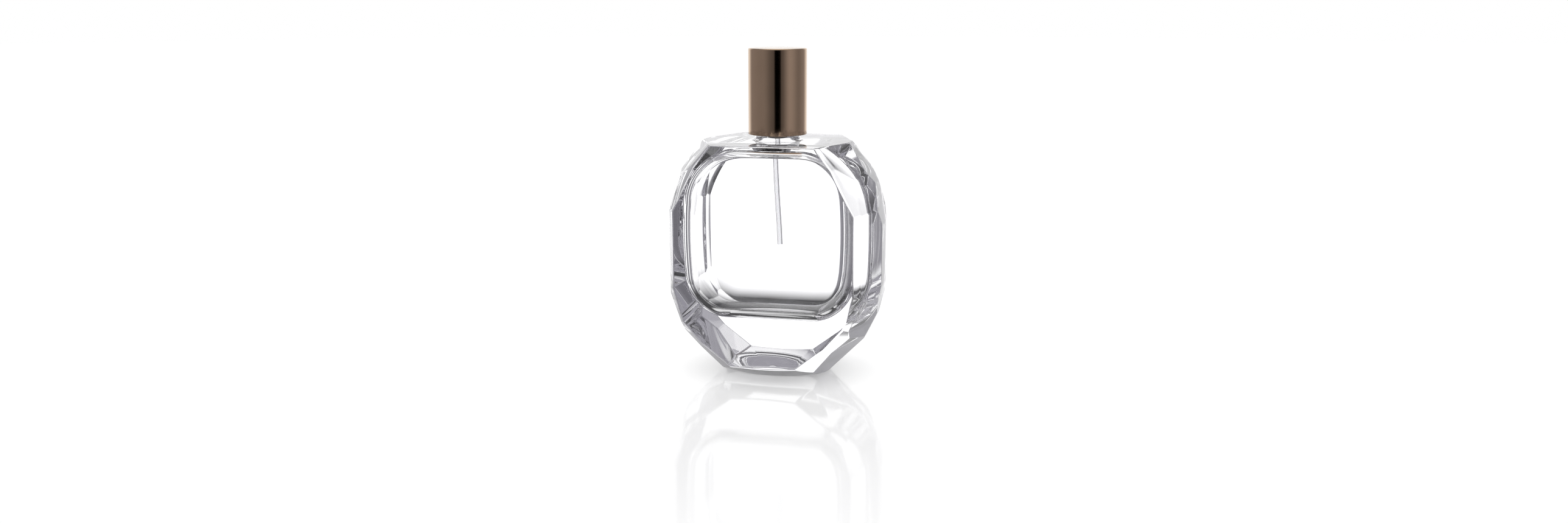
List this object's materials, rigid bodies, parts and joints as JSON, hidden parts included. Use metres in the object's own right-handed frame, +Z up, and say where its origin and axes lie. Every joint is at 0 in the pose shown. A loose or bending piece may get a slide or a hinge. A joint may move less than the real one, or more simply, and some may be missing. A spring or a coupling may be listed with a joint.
{
  "type": "perfume bottle",
  "caption": "Clear faceted glass perfume bottle with a heavy base, a crimped spray pump with a press-down button, a short dip tube and a lift-off cylindrical metal cap.",
  "frame": {"origin": "centre of the base, on the surface the bottle stands on", "axes": "+Z up along the neck, pump and cap; -Y is the front, where the spray hole faces; +X is the bottle's right as seen from the front"},
  "size_m": [0.0654, 0.04, 0.0976],
  "materials": {
    "clear_glass": "clear, polished flat facets",
    "bronze_metal": "satin bronze anodised",
    "bare_aluminium": "bare, drawn",
    "steel": "bright stainless",
    "clear_plastic": "translucent, smooth",
    "grey_plastic": "moulded, semi-matt",
    "white_plastic": "moulded, semi-matt",
    "dark_plastic": "moulded, semi-matt",
    "seal_rubber": "matt"
  },
  "bodies": {
    "bottle": {"glass_bottle": "clear_glass", "dip_tube": "clear_plastic", "neck_gasket": "seal_rubber", "pump_housing": "grey_plastic", "ball_retainer": "white_plastic", "crimp_ferrule": "bare_aluminium", "pump_collar": "bronze_metal", "pump_turret": "grey_plastic", "stem_seal": "seal_rubber", "return_spring": "steel"},
    "valve_ball": {"check_ball": "steel"},
    "plunger": {"pump_stem": "white_plastic", "piston": "white_plastic", "piston_seat": "white_plastic"},
    "button": {"button_shell": "bronze_metal", "button_core": "white_plastic", "nozzle_insert": "dark_plastic"},
    "cap": {"cap_shell": "bronze_metal", "cap_liner": "white_plastic", "cap_weight": "steel"}
  },
  "joints": [
    {"name": "cap_lift", "type": "slide", "parent": "bottle", "child": "cap", "axis": [0, 0, 1], "range_m": [0, 0.03]},
    {"name": "spray_press", "type": "slide", "parent": "bottle", "child": "plunger", "axis": [0, 0, -1], "range_m": [0, 0.0036], "stiffness_N_per_m": 1500, "springref_m": -0.003, "deforming": ["return_spring"]},
    {"name": "button_turn", "type": "hinge", "parent": "plunger", "child": "button", "pos_m": [0, 0, 0.0884], "axis": [0, 0, 1], "continuous": true},
    {"name": "check_ball_lift", "type": "slide", "parent": "bottle", "child": "valve_ball", "axis": [0, 0, 1], "range_m": [0, 0.0005]}
  ]
}
